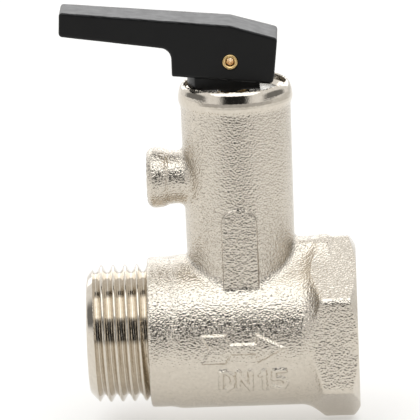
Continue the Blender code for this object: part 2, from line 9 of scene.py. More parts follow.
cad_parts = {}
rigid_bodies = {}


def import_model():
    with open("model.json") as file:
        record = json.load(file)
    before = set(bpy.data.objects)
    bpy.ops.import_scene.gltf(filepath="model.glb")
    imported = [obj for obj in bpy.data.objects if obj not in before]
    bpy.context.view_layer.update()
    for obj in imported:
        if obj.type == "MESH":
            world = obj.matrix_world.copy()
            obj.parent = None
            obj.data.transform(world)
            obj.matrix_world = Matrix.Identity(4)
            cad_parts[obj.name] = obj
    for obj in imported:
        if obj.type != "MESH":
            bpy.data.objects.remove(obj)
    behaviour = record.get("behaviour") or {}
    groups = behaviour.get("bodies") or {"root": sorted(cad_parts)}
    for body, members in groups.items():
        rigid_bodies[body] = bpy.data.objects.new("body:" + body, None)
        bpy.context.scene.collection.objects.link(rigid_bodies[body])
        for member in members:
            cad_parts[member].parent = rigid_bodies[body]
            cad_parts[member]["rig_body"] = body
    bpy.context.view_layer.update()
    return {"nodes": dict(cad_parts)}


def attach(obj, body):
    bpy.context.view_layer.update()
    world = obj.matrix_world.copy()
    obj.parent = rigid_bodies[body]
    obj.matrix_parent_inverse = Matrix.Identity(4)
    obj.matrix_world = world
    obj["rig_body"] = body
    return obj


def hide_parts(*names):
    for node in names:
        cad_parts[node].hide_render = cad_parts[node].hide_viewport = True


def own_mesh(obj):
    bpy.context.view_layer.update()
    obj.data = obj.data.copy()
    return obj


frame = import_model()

MM = 0.001
BODY_OF = {name: obj["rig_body"] for name, obj in frame["nodes"].items()}

# ---------------------------------------------------------------- sizes, in millimetres
X_MALE, X_THREAD, X_HEX = -41.2, -31.9, -6.7
R_COLLAR, R_BARREL, R_BORE, R_CARTRIDGE_BORE = 11.5, 11.8, 7.0, 7.6
X_CARTRIDGE_STOP, SOCKET_DEPTH = -25.2, 11.0
HEX_APOTHEM, R_HEX_CORNER = 12.45, 14.15
PITCH, R_MAJOR, R_MINOR, X_CREST = 1.814, 10.48, 9.32, -38.93
FLANK = math.tan(math.radians(27.5))
X_TOWER, Z_RIM, R_LIP = -17.45, 39.05, 8.7
Z_SPIGOT, SPIGOT_LENGTH = 24.3, 13.9
X_PIN, Z_PIN, R_PIN = X_TOWER - 0.5, 42.8, 1.2
X_CHECK_SEAT = -35.7
RELIEF = 0.35                 # height of the arrow; the size mark has 0.8 of it
R_CAM, Z_HEEL, R_HEEL = 4.75, -4.4, 7.15   # cam boss, and the block under it in the mouth
CASTING_TRIANGLES = 192000


# ---------------------------------------------------------------- distance fields
def round_union(a, b, radius):
    """The union of two distance fields, with a fillet of this radius in the corner."""
    corner = np.hypot(np.maximum(radius - a, 0), np.maximum(radius - b, 0))
    return np.maximum(radius, np.minimum(a, b)) - corner


def round_intersection(a, b, radius):
    """The common part of two distance fields, with its edge rounded to this radius."""
    corner = np.hypot(np.maximum(radius + a, 0), np.maximum(radius + b, 0))
    return np.minimum(-radius, np.maximum(a, b)) + corner


def hexagon(y, z, apothem, corner):
    """Distance to a hexagon with flats on +Y and -Y and rounded corners."""
    apothem = apothem - corner
    p, q = np.abs(z), np.abs(y)
    fold = 2 * np.minimum(-0.8660254 * p + 0.5 * q, 0)
    p, q = p + 0.8660254 * fold, q - 0.5 * fold
    p = p - np.clip(p, -0.5773503 * apothem, 0.5773503 * apothem)
    q = q - apothem
    return np.hypot(p, q) * np.sign(q) - corner


def polygon(px, py, points):
    """Signed distance to a closed outline."""
    best = np.full(px.shape, 1e9)
    inside = np.zeros(px.shape, bool)
    for (ax, ay), (bx, by) in zip(points, points[1:] + points[:1]):
        ex, ey = bx - ax, by - ay
        wx, wy = px - ax, py - ay
        t = np.clip((wx * ex + wy * ey) / (ex * ex + ey * ey), 0, 1)
        best = np.minimum(best, np.hypot(wx - t * ex, wy - t * ey))
        if ay != by:
            crosses = ((ay > py) != (by > py)) & (px < ax + (py - ay) * ex / ey)
            inside ^= crosses
    return np.where(inside, -best, best)


def stroke(px, py, path, width):
    """Distance to a line of this width through the points of a path."""
    best = np.full(px.shape, 1e9)
    for (ax, ay), (bx, by) in zip(path, path[1:]):
        ex, ey = bx - ax, by - ay
        t = np.clip(((px - ax) * ex + (py - ay) * ey) / (ex * ex + ey * ey), 0, 1)
        best = np.minimum(best, np.hypot(px - ax - t * ex, py - ay - t * ey))
    return best - width / 2


def ramp(x, knots):
    """Piecewise linear value from (x, value) knots."""
    xs, values = zip(*knots)
    return np.interp(x, xs, values)


ARROW = [(-23.7, 2.15), (-20.2, 2.15), (-19.4, 0.75), (-15.4, 0.75), (-15.4, 2.15), (-11.3, 0.0),
         (-15.4, -2.15), (-15.4, -0.75), (-19.4, -0.75), (-20.2, -2.15), (-23.7, -2.15), (-22.5, 0.0)]


def size_mark():
    """Strokes of the generic size mark DN15."""
    low, high, strokes = -7.35, -3.75, []
    bow = [(0.0, low), (0.0, high), (0.8, high), (1.55, high - 0.65), (1.8, (low + high) / 2),
           (1.55, low + 0.65), (0.8, low), (0.0, low)]
    strokes.append([(x - 21.0, z) for x, z in bow])
    strokes.append([(-18.4, low), (-18.4, high), (-16.5, low), (-16.5, high)])
    strokes.append([(-15.0, high - 0.7), (-14.4, high), (-14.4, low)])
    strokes.append([(-11.3, high), (-12.9, high), (-13.0, high - 1.5), (-12.2, high - 1.35),
                    (-11.45, high - 1.7), (-11.15, low + 1.1), (-11.6, low + 0.25), (-12.4, low),
                    (-13.15, low + 0.5)])
    return strokes


def relief(x, y, z):
    """Height of the raised arrow and size mark on the front of the barrel."""
    height = np.zeros(np.broadcast(x, y, z).shape)
    x, y, z = np.broadcast_arrays(x, y, z)
    near = (x > -25) & (x < -9.5) & (y < -6) & (z > -9.5) & (z < 4)
    px, arc = x[near], R_BARREL * np.arctan2(z[near], -y[near])
    arrow = polygon(px, arc, ARROW)
    text = np.full(px.shape, 1e9)
    for path in size_mark():
        text = np.minimum(text, stroke(px, arc, path, 0.62))
    height[near] = np.maximum(RELIEF * np.clip(0.6 - arrow / 0.4, 0, 1),
                              0.8 * RELIEF * np.clip(0.6 - text / 0.35, 0, 1))
    return height


def thread_radius(x, theta, crest_x, outer, inner):
    """Radius of a right-handed thread about X, with rounded crests and roots."""
    turn = (x - crest_x) / PITCH - (theta - math.pi / 2) / math.tau
    off = np.abs(turn - np.round(turn)) * PITCH
    slope = (PITCH / 4 - off) / FLANK
    half = (outer - inner) / 2
    soft = 0.22
    top = half - slope
    rounded = half - 0.5 * (top + np.sqrt(top * top + soft * soft) - soft * 0.55)
    bottom = rounded + half
    rounded = -half + 0.5 * (bottom + np.sqrt(bottom * bottom + soft * soft) - soft * 0.2)
    rounded = np.where(off < PITCH / 4, np.minimum(rounded, half), rounded)
    return (outer + inner) / 2 + np.clip(rounded, -half, half)


def casting_outside(x, y, z):
    """Distance to the casting as if it were solid."""
    rho = np.hypot(y, z)
    theta = np.arctan2(z, y)
    body_radius = ramp(x, [(-29.0, R_COLLAR), (-28.4, R_COLLAR + 0.05), (-27.5, R_BARREL - 0.05),
                           (-26.9, R_BARREL)])
    body_radius = body_radius + relief(x, y, z)
    barrel = round_intersection(rho - body_radius, X_THREAD - x, 0.55)
    barrel = np.maximum(barrel, x - (X_HEX + 2.5))
    # hex with its turned chamfers
    back = (rho - (HEX_APOTHEM + (x - X_HEX) * 1.45)) / 1.76
    front = (rho - (HEX_APOTHEM - 0.1 - x * 1.714)) / 1.984
    flats = hexagon(y, z, HEX_APOTHEM, 1.35)
    envelope = np.maximum(np.maximum(front, x), rho - R_HEX_CORNER)
    nut = np.maximum(round_intersection(flats, back, 0.35), envelope)
    body = np.maximum(round_union(barrel, nut, 1.5), flats)
    # bridge of metal between the tower and the top of the hex
    bridge = round_intersection(z - 14.1, (0.62 * z + 0.785 * np.abs(y) - 10.1), 0.6)
    bridge = np.maximum(np.maximum(bridge, 8 - z), np.maximum(X_TOWER + 6 - x, x - (X_HEX + 2.2)))
    body = round_union(body, bridge, 1.1)
    # tower
    wall = np.hypot(x - X_TOWER, y)
    tower_radius = ramp(z, [(8, 8.2), (34.9, 8.35), (35.4, 8.38), (35.9, 8.57), (36.3, 8.68),
                            (36.7, R_LIP), (37.2, 8.66), (37.7, 8.57), (38.2, 8.42), (38.7, 8.2),
                            (39.1, 8.0)])
    tower = round_intersection(wall - tower_radius, z - Z_RIM, 0.7)
    tower = np.maximum(tower, -z)
    # round-topped pad on the front of the tower
    side = np.abs(x - X_TOWER)
    arch = np.where(z > 18.6, np.hypot(side, (z - 18.6) * 1.18), side) - 2.66
    pad = round_intersection(arch, -8.42 - y, 0.22)
    pad = np.maximum(pad, np.maximum(y + 6.5, 6 - z))
    # drain spigot
    out = X_TOWER - x
    tube = np.hypot(y, z - Z_SPIGOT)
    spigot_radius = ramp(out, [(9.9, 4.05), (10.5, 4.12), (11.1, 4.38), (11.7, 4.54), (12.3, 4.6),
                               (13.0, 4.58), (14, 4.45)])
    spigot = round_intersection(tube - spigot_radius, out - SPIGOT_LENGTH, 1.15)
    spigot = np.maximum(spigot, 4 - out)
    tower = round_union(tower, spigot, 0.9)
    body = round_union(body, tower, 0.9)
    body = round_union(body, pad, 0.2)
    # male thread
    crest = thread_radius(x, theta, X_CREST, R_MAJOR, R_MINOR)
    lead = 8.95 + np.clip(x - X_MALE, 0, 9) * 1.05
    thread = np.minimum(crest, np.maximum(lead, 0))
    thread = round_intersection(rho - thread, X_MALE - x, 0.3)
    thread = np.maximum(thread, x - (X_THREAD + 1.5))
    return np.minimum(body, thread)


def casting_bores(x, y, z):
    """Distance to everything that is bored out of the casting."""
    rho = np.hypot(y, z)
    water = rho - ramp(x, [(X_MALE, 8.4), (X_MALE + 0.8, R_CARTRIDGE_BORE), (-39.11, R_CARTRIDGE_BORE),
                           (-39.1, R_CARTRIDGE_BORE + 0.6), (-37.81, R_CARTRIDGE_BORE + 0.6),
                           (-37.8, R_CARTRIDGE_BORE), (X_CARTRIDGE_STOP, R_CARTRIDGE_BORE),
                           (X_CARTRIDGE_STOP + 0.01, R_BORE), (-12.1, R_BORE)])
    water = np.maximum(water, x + 12.0)
    theta = np.arctan2(z, y)
    socket = thread_radius(x, theta, -0.9, R_MAJOR, R_MINOR)
    mouth = ramp(x, [(-1.9, R_MINOR), (0.0, R_MAJOR + 0.7), (1.0, R_MAJOR + 1.7)])
    relief_cut = ramp(x, [(-SOCKET_DEPTH - 1.1, R_BORE), (-SOCKET_DEPTH + 0.8, R_MAJOR), (-8.6, R_MAJOR),
                          (-7.9, R_MINOR)])
    socket = rho - np.maximum(np.maximum(socket, mouth), relief_cut)
    socket = np.maximum(socket, -SOCKET_DEPTH - 1.1 - x)
    wall = np.hypot(x - X_TOWER, y)
    chamber = wall - ramp(z, [(11.0, 5.85), (11.6, 6.45), (31.0, 6.45), (31.6, 7.05), (37.25, 7.05),
                              (37.9, 7.7), (38.75, 7.7), (39.05, 7.95), (39.4, 8.3)])
    chamber = np.maximum(chamber, 11.0 - z)
    seat = np.maximum(wall - ramp(z, [(11, 4.5), (11.4, 4.1), (12.5, 3.75)]), z - 12.5)
    chamber = np.maximum(chamber, -seat)
    hole = np.maximum(wall - 3.2, np.maximum(3 - z, z - 13))
    out = X_TOWER - x
    drain = np.hypot(y, z - Z_SPIGOT) - ramp(out, [(12.9, 2.6), (13.9, 3.7), (15, 4.8)])
    drain = np.maximum(drain, 4 - out)
    return np.minimum(np.minimum(np.minimum(water, socket), np.minimum(chamber, hole)), drain)


def casting(x, y, z):
    return np.maximum(casting_outside(x, y, z), -casting_bores(x, y, z))


# ---------------------------------------------------------------- meshing a field
def graded(low, high, step, fine):
    """Grid lines at this step, closer in the fine spans of (from, to, step)."""
    lines = [low]
    while lines[-1] < high:
        here = [s for a, b, s in fine if a <= lines[-1] < b]
        lines.append(lines[-1] + min([step] + here))
    return np.array(lines)


def gradient(field, points, reach=0.02):
    """Unit normals of a field at these points."""
    normal = np.empty_like(points)
    for axis in range(3):
        shift = np.zeros(3)
        shift[axis] = reach
        ahead, behind = points + shift, points - shift
        normal[:, axis] = field(*ahead.T) - field(*behind.T)
    return normal / np.maximum(np.linalg.norm(normal, axis=1, keepdims=True), 1e-12)


def contour(field, axes):
    """A closed quad mesh of a field's zero surface that keeps sharp edges (dual contouring)."""
    shape = tuple(len(a) for a in axes)
    values = np.empty(shape, np.float32)
    grid_y, grid_z = np.meshgrid(axes[1], axes[2], indexing="ij")
    block = 12
    for i in range(0, shape[0], block):
        x = axes[0][i:i + block, None, None]
        values[i:i + block] = field(x + 0 * grid_y[None], grid_y[None] + 0 * x, grid_z[None] + 0 * x)
    inside = values < 0
    quads, points, normals = [], [], []
    strides = np.array([shape[1] * shape[2], shape[2], 1])
    for axis in range(3):
        low = [slice(None)] * 3
        high = [slice(None)] * 3
        low[axis], high[axis] = slice(0, -1), slice(1, None)
        start = np.argwhere(inside[tuple(low)] != inside[tuple(high)])
        end = start.copy()
        end[:, axis] += 1
        a = np.stack([axes[k][start[:, k]] for k in range(3)], 1)
        b = np.stack([axes[k][end[:, k]] for k in range(3)], 1)
        va = values[tuple(start.T)].astype(float)
        from_inside = va < 0
        lo, hi = a.copy(), b.copy()
        for _ in range(9):
            middle = (lo + hi) / 2
            same = (field(*middle.T) < 0) == from_inside
            lo = np.where(same[:, None], middle, lo)
            hi = np.where(same[:, None], hi, middle)
        crossing = (lo + hi) / 2
        points.append(crossing)
        normals.append(gradient(field, crossing))
        u, v = [k for k in range(3) if k != axis]
        du, dv = strides[u], strides[v]
        base = start @ strides
        around = np.stack([base - du - dv, base - dv, base, base - du], 1)
        if axis == 1:
            around = around[:, ::-1]
        around = np.where(from_inside[:, None], around, around[:, ::-1])
        quads.append(around)
    quads = np.concatenate(quads)
    points, normals = np.concatenate(points), np.concatenate(normals)
    keys, flat = np.unique(quads.ravel(), return_inverse=True)
    flat = flat.reshape(-1)
    corner = np.repeat(np.arange(len(quads)), 4)
    total = len(keys)
    p, n = points[corner], normals[corner]
    number = np.bincount(flat, minlength=total)
    centre = np.stack([np.bincount(flat, p[:, k], total) for k in range(3)], 1) / number[:, None]
    offset = p - centre[flat]
    ata = np.empty((total, 3, 3))
    atb = np.empty((total, 3))
    along = np.einsum("ij,ij->i", n, offset)
    for r in range(3):
        for c in range(3):
            ata[:, r, c] = np.bincount(flat, n[:, r] * n[:, c], total)
        atb[:, r] = np.bincount(flat, n[:, r] * along, total)
    ata[:, range(3), range(3)] += 0.04
    place = centre + np.linalg.solve(ata, atb[:, :, None])[:, :, 0]
    index = np.stack(np.unravel_index(keys, shape), 1)
    for k in range(3):
        low, high = axes[k][index[:, k]], axes[k][np.minimum(index[:, k] + 1, shape[k] - 1)]
        place[:, k] = np.clip(place[:, k], low, high)
    return place, flat.reshape(-1, 4)


def mesh_object(name, verts, faces, sharp=38.0):
    mesh = bpy.data.meshes.new(name)
    mesh.from_pydata((np.asarray(verts) * MM).tolist(), [], [list(f) for f in faces])
    mesh.validate()
    mesh.shade_smooth()
    mesh.set_sharp_from_angle(angle=math.radians(sharp))
    obj = bpy.data.objects.new(name, mesh)
    bpy.context.scene.collection.objects.link(obj)
    return obj


def face_outwards(obj):
    bm = bmesh.new()
    bm.from_mesh(obj.data)
    bmesh.ops.recalc_face_normals(bm, faces=bm.faces)
    bm.to_mesh(obj.data)
    bm.free()
    return obj


def mark(obj, name, values):
    """Writes one number per vertex, for a material to read."""
    attribute = obj.data.attributes.new(name, "FLOAT", "POINT")
    attribute.data.foreach_set("value", np.asarray(values, np.float32))


def thin_out(obj, triangles):
    """Collapses the least needed edges until the mesh has about this many triangles."""
    have = sum(len(p.vertices) - 2 for p in obj.data.polygons)
    if have <= triangles:
        return
    modifier = obj.modifiers.new("thin_out", "DECIMATE")
    modifier.ratio = triangles / have
    graph = bpy.context.evaluated_depsgraph_get()
    mesh = bpy.data.meshes.new_from_object(obj.evaluated_get(graph))
    obj.modifiers.clear()
    obj.data = mesh
    mesh.shade_smooth()
    mesh.set_sharp_from_angle(angle=math.radians(38))


def field_normals(obj, field):
    """Shades a mesh with the field's own normals, and leaves its sharp edges sharp."""
    mesh = obj.data
    corners = np.empty(len(mesh.loops), np.int64)
    mesh.loops.foreach_get("vertex_index", corners)
    co = np.empty(len(mesh.vertices) * 3)
    mesh.vertices.foreach_get("co", co)
    co = co.reshape(-1, 3) / MM
    sizes = np.empty(len(mesh.polygons), np.int64)
    mesh.polygons.foreach_get("loop_total", sizes)
    centre, flat = np.empty(len(sizes) * 3), np.empty(len(sizes) * 3)
    mesh.polygons.foreach_get("center", centre)
    mesh.polygons.foreach_get("normal", flat)
    face = np.repeat(np.arange(len(sizes)), sizes)
    centre, flat = centre.reshape(-1, 3)[face] / MM, flat.reshape(-1, 3)[face]
    points = 0.75 * co[corners] + 0.25 * centre
    normal = gradient(field, points, 0.03)
    off = np.einsum("ij,ij->i", normal, flat) < 0.78
    normal[off] = flat[off]
    mesh.normals_split_custom_set(normal.tolist())


def place_piece(obj, node, material):
    obj.data.materials.clear()
    obj.data.materials.append(material)
    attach(obj, BODY_OF[node])
    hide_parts(node)
    return obj


# ---------------------------------------------------------------- materials
class Nodes:
    """Short calls for building one material's node tree."""

    def __init__(self, name):
        self.material = bpy.data.materials.new(name)
        self.material.use_nodes = True
        self.tree = self.material.node_tree
        self.shader = self.tree.nodes["Principled BSDF"]
        self.place = self.add("ShaderNodeTexCoord").outputs["Object"]

    def add(self, kind, **settings):
        node = self.tree.nodes.new(kind)
        for key, value in settings.items():
            if isinstance(value, str) or isinstance(value, bool):
                setattr(node, key, value)
            else:
                node.inputs[key].default_value = value
        return node

    def link(self, source, target):
        self.tree.links.new(source, target)

    def noise(self, scale, detail=2.0, roughness=0.5, vector=None):
        node = self.add("ShaderNodeTexNoise", Scale=scale, Detail=detail, Roughness=roughness)
        self.link(vector or self.place, node.inputs["Vector"])
        return node.outputs["Fac"]

    def cells(self, scale):
        node = self.add("ShaderNodeTexVoronoi", Scale=scale)
        self.link(self.place, node.inputs["Vector"])
        return node.outputs["Distance"]

    def stretched(self, x, y, z):
        node = self.add("ShaderNodeMapping")
        node.inputs["Scale"].default_value = (x, y, z)
        self.link(self.place, node.inputs["Vector"])
        return node.outputs["Vector"]

    def span(self, value, low, high, out_low=0.0, out_high=1.0):
        node = self.add("ShaderNodeMapRange")
        for key, number in (("From Min", low), ("From Max", high), ("To Min", out_low), ("To Max", out_high)):
            node.inputs[key].default_value = number
        self.link(value, node.inputs["Value"])
        return node.outputs["Result"]

    def maths(self, operation, a, b):
        node = self.add("ShaderNodeMath", operation=operation)
        for socket, value in zip(node.inputs, (a, b)):
            if isinstance(value, (int, float)):
                socket.default_value = value
            else:
                self.link(value, socket)
        return node.outputs["Value"]

    def colours(self, value, *stops):
        node = self.add("ShaderNodeValToRGB")
        elements = node.color_ramp.elements
        while len(elements) < len(stops):
            elements.new(0.5)
        for element, (at, colour) in zip(elements, stops):
            element.position = at
            element.color = (*colour, 1.0)
        self.link(value, node.inputs["Fac"])
        self.link(node.outputs["Color"], self.shader.inputs["Base Color"])

    def bump(self, height, distance, strength=1.0, below=None):
        node = self.add("ShaderNodeBump", Distance=distance)
        if isinstance(strength, (int, float)):
            node.inputs["Strength"].default_value = strength
        else:
            self.link(strength, node.inputs["Strength"])
        self.link(height, node.inputs["Height"])
        if below is not None:
            self.link(below, node.inputs["Normal"])
        return node.outputs["Normal"]

    def finish(self, normal=None, roughness=None, **values):
        for key, value in values.items():
            self.shader.inputs[key.replace("_", " ")].default_value = value
        if normal is not None:
            self.link(normal, self.shader.inputs["Normal"])
        if roughness is not None:
            if isinstance(roughness, (int, float)):
                self.shader.inputs["Roughness"].default_value = roughness
            else:
                self.link(roughness, self.shader.inputs["Roughness"])
        return self.material


def cast_nickel():
    """Nickel plate over a blasted brass casting; machined faces are smooth."""
    n = Nodes("plated_casting")
    attribute = n.add("ShaderNodeAttribute", attribute_name="machined", attribute_type="GEOMETRY")
    machined = attribute.outputs["Fac"]
    rough_skin = n.maths("SUBTRACT", 1.0, machined)
    grain = n.noise(3500, 1.0, 0.5)
    pits = n.cells(2900)
    dents = n.noise(900, 2.0, 0.5)
    n.colours(n.noise(1700, 3.0, 0.6), (0.3, (0.61, 0.555, 0.475)), (0.55, (0.65, 0.595, 0.515)),
              (0.75, (0.68, 0.63, 0.55)))
    wavy = n.bump(dents, 0.00012, n.maths("MULTIPLY", rough_skin, 0.3))
    dimple = n.bump(pits, 0.00008, n.maths("MULTIPLY", rough_skin, 0.4), wavy)
    strength = n.maths("ADD", n.maths("MULTIPLY", rough_skin, 0.9), 0.01)
    normal = n.bump(grain, 0.00016, strength, dimple)
    polish = n.span(n.noise(1500, 2.0), 0.3, 0.7, 0.07, 0.13)
    rough = n.maths("ADD", polish, n.maths("MULTIPLY", rough_skin, 0.06))
    return n.finish(normal, rough, Metallic=1.0)


def moulded_black():
    n = Nodes("lever_plastic")
    skin = n.noise(2600, 2.0, 0.55)
    n.colours(n.noise(300, 3.0, 0.6), (0.35, (0.0030, 0.0030, 0.0031)), (0.7, (0.0042, 0.0042, 0.0043)))
    normal = n.bump(skin, 0.00002, 0.12)
    rough = n.span(n.noise(700, 3.0), 0.3, 0.7, 0.32, 0.40)
    return n.finish(normal, rough, IOR=1.38)


def turned_metal(name, dark, light, low, high, axis):
    """Machined metal with fine turning marks across this axis."""
    n = Nodes(name)
    scale = {"X": (9.0, 0.6, 0.6), "Y": (0.6, 9.0, 0.6), "Z": (0.6, 0.6, 9.0)}[axis]
    marks = n.noise(900, 3.0, 0.6, n.stretched(*scale))
    n.colours(n.noise(700, 3.0, 0.6), (0.3, dark), (0.7, light))
    normal = n.bump(marks, 0.00002, 0.25)
    return n.finish(normal, n.span(n.noise(1100, 2.0), 0.3, 0.7, low, high), Metallic=1.0)


def soft_black(name, base):
    n = Nodes(name)
    n.colours(n.noise(500, 3.0, 0.6), (0.3, tuple(c * 0.8 for c in base)),
              (0.7, tuple(c * 1.3 for c in base)))
    normal = n.bump(n.noise(1800, 3.0, 0.6), 0.00003, 0.3)
    return n.finish(normal, n.span(n.noise(600, 2.0), 0.3, 0.7, 0.55, 0.75))


def moulded_white(name, base):
    n = Nodes(name)
    n.colours(n.noise(260, 3.0, 0.6), (0.3, tuple(c * 0.94 for c in base)), (0.7, base))
    normal = n.bump(n.noise(1500, 2.0, 0.5), 0.00002, 0.2)
    return n.finish(normal, n.span(n.noise(500, 2.0), 0.3, 0.7, 0.36, 0.5), Subsurface_Weight=0.08,
                    Subsurface_Scale=0.001)


# ---------------------------------------------------------------- the casting
def build_casting():
    step = 0.3
    thread_step = 0.15
    mark_step = 0.2
    axes = (
        graded(X_MALE - 0.4, 0.7, step, [(X_MALE - 0.4, X_THREAD, thread_step), (-24.2, -10.9, mark_step),
                                         (-8.6, 0.2, thread_step * 1.2)]),
        graded(-13.0, 13.0, step, []),
        graded(-14.87, 39.7, step, [(-8.2, 2.8, mark_step), (35.2, 39.3, mark_step)]),
    )
    verts, faces = contour(casting, axes)
    obj = mesh_object("casting", verts, faces)
    x, y, z = verts.T
    rho, wall = np.hypot(y, z), np.hypot(x - X_TOWER, y)
    bored = np.abs(casting_bores(x, y, z)) < 0.05
    thread = x < X_THREAD - 0.05
    lip = (z > 35.9) & (wall > 8.0)
    rim = z > Z_RIM - 0.2
    hex_end = (x > -0.2) | ((rho - (HEX_APOTHEM - 0.1 - x * 1.714) > -0.1) & (x > -1.2))
    smooth = np.maximum.reduce([bored * 1.0, thread * 1.0, lip * 0.94, rim * 1.0, hex_end * 0.8])
    mark(obj, "machined", smooth)
    thin_out(obj, CASTING_TRIANGLES)
    field_normals(obj, casting)
    return place_piece(obj, "valve_body", cast_nickel())


# ---------------------------------------------------------------- lever
# (x, z, corner radius) from the pin
LEVER_CORNERS = [(-25.5, 8.25, 0.5), (-25.7, 4.55, 0.6), (-8.85, 2.15, 1.7), (-8.85, -2.0, 0.25),
                 (6.3, -3.6, 0.7), (6.6, -2.25, 0.3), (7.25, 3.4, 0.6), (0.2, 5.55, 2.5)]


def rounded(corners, segments=6):
    """An outline of (x, y, corner radius) points with its corners rounded."""
    outline = []
    for i, (x, y, radius) in enumerate(corners):
        corner = np.array((x, y))
        before = np.array(corners[i - 1][:2]) - corner
        after = np.array(corners[(i + 1) % len(corners)][:2]) - corner
        before, after = before / np.linalg.norm(before), after / np.linalg.norm(after)
        half = math.acos(float(before @ after)) / 2
        reach = radius / math.tan(half)
        middle = (before + after) / np.linalg.norm(before + after)
        centre = corner + middle * radius / math.sin(half)
        for t in np.linspace(0, 1, segments + 1):
            spoke = (1 - t) * (corner + before * reach - centre) + t * (corner + after * reach - centre)
            outline.append(tuple(centre + spoke / np.linalg.norm(spoke) * radius))
    return outline


LEVER_OUTLINE = rounded(LEVER_CORNERS)


def lever_field(x, y, z):
    """The outside of the lever, with its cam boss and the block that reaches into the mouth."""
    u, w = x - X_PIN, z - Z_PIN
    outline = polygon(u, w, LEVER_OUTLINE)
    half = (7.2 + 2.0 * (u + 25.8) / 33.15) / 2
    side = np.abs(y) - half
    body = round_intersection(outline, side, 0.3)
    cam = round_intersection(np.hypot(u, w) - R_CAM, np.abs(y) - 4.0, 0.25)
    heel = np.maximum(np.maximum(-7.6 - u, u - 4.35), np.maximum(Z_HEEL - w, w))
    sides = np.maximum(np.abs(y) - 4.0, np.hypot(x - X_TOWER, y) - R_HEEL)
    heel = round_intersection(heel, sides, 0.25)
    return np.minimum(body, np.minimum(cam, heel))


def build_lever():
    step = 0.2
    axes = (graded(X_PIN - 26.2, X_PIN + 7.9, step, []), graded(-5.0, 5.0, step, []),
            graded(Z_PIN - 5.3, Z_PIN + 8.9, step, []))

    def field(x, y, z):
        u, w = x - X_PIN, z - Z_PIN
        body = lever_field(x, y, z)
        eye = np.hypot(u, w)
        slot = np.where((u < 0) & (w > 0), eye - 2.95, np.maximum(-2.95 - u, w - 2.6))
        slot = np.maximum(slot, np.abs(y) - 2.2)
        pocket = np.maximum(np.maximum(-24.0 - u, u + 12.2), w - (3.2 - 0.13 * u))
        pocket = np.maximum(pocket, np.abs(y) - 2.4)
        hole = eye - (R_PIN + 0.02)
        body = round_intersection(body, -slot, 0.15)
        body = round_intersection(body, -pocket, 0.25)
        return round_intersection(body, -hole, 0.1)

    verts, faces = contour(field, axes)
    return place_piece(mesh_object("lever_body", verts, faces), "lever", moulded_black())


# ---------------------------------------------------------------- turned pieces
def lathe(name, profile, axis, centre, steps):
    """Revolves a closed profile of (radius, distance) points about an axis through centre."""
    angles = np.linspace(0, math.tau, steps, endpoint=False)
    verts = []
    for radius, distance in profile:
        c, s = radius * np.cos(angles), radius * np.sin(angles)
        d = np.full(steps, distance)
        verts.append(np.stack({"X": (d, c, s), "Y": (c, d, s), "Z": (c, s, d)}[axis], 1) + centre)
    verts = np.concatenate(verts)
    rings = len(profile)
    faces = []
    flip = axis == "Y"
    for k in range(rings):
        a, b = k * steps, ((k + 1) % rings) * steps
        for i in range(steps):
            j = (i + 1) % steps
            quad = [a + i, a + j, b + j, b + i]
            faces.append(quad[::-1] if flip else quad)
    return face_outwards(mesh_object(name, verts, faces, 32))


def bend(points, radius, count=4):
    """Rounds the corners of a closed (radius, distance) profile."""
    out = []
    total = len(points)
    for i, point in enumerate(points):
        before, corner, after = (np.array(points[k % total], float) for k in (i - 1, i, i + 1))
        reach = min(radius, 0.45 * np.linalg.norm(before - corner), 0.45 * np.linalg.norm(after - corner))
        a = corner + (before - corner) / np.linalg.norm(before - corner) * reach
        b = corner + (after - corner) / np.linalg.norm(after - corner) * reach
        for t in np.linspace(0, 1, count + 1):
            out.append(tuple((1 - t) ** 2 * a + 2 * t * (1 - t) * corner + t * t * b))
    return out


def build_pin():
    half, hole = 4.6, 0.55
    profile = [(hole, -half + 0.5), (hole, half - 0.5), (hole + 0.16, half - 0.12), (hole + 0.38, half),
               (R_PIN - 0.12, half - 0.03), (R_PIN, half - 0.22), (R_PIN, -half + 0.22),
               (R_PIN - 0.12, -half + 0.03), (hole + 0.38, -half), (hole + 0.16, -half + 0.12)]
    obj = lathe("rivet", bend(profile, 0.12, 3), "Y", (X_PIN, 0, Z_PIN), 72)
    brass = turned_metal("rivet_brass", (0.66, 0.46, 0.20), (0.78, 0.57, 0.28), 0.2, 0.32, "Y")
    return place_piece(obj, "lever_pin", brass)


def build_plug():
    low, high = 33.4, 37.6
    step = 0.16

    def field(x, y, z):
        wall = np.hypot(x - X_TOWER, y)
        body = round_intersection(wall - 6.75, np.abs(z - (low + high) / 2) - (high - low) / 2, 0.4)
        hole = wall - ramp(z, [(high - 0.3, 2.25), (high, 2.55)])
        groove = np.maximum(wall - 3.5, np.abs(z - (high - 1.95)) - 0.75)
        across = np.abs(x - X_TOWER)
        slots = np.maximum(across - 0.8, np.maximum(4.4 - np.abs(y), high - 0.9 - z))
        body = np.maximum(body, -hole)
        body = np.maximum(body, -groove)
        return round_intersection(body, -slots, 0.12)

    axes = (graded(X_TOWER - 7.1, X_TOWER + 7.1, step, []), graded(-7.1, 7.1, step, []),
            graded(33.0, 38.0, step, []))
    obj = mesh_object("plug", *contour(field, axes))
    nickel = turned_metal("plug_nickel", (0.56, 0.54, 0.50), (0.66, 0.645, 0.61), 0.2, 0.32, "Z")
    return place_piece(obj, "adjusting_plug", nickel)


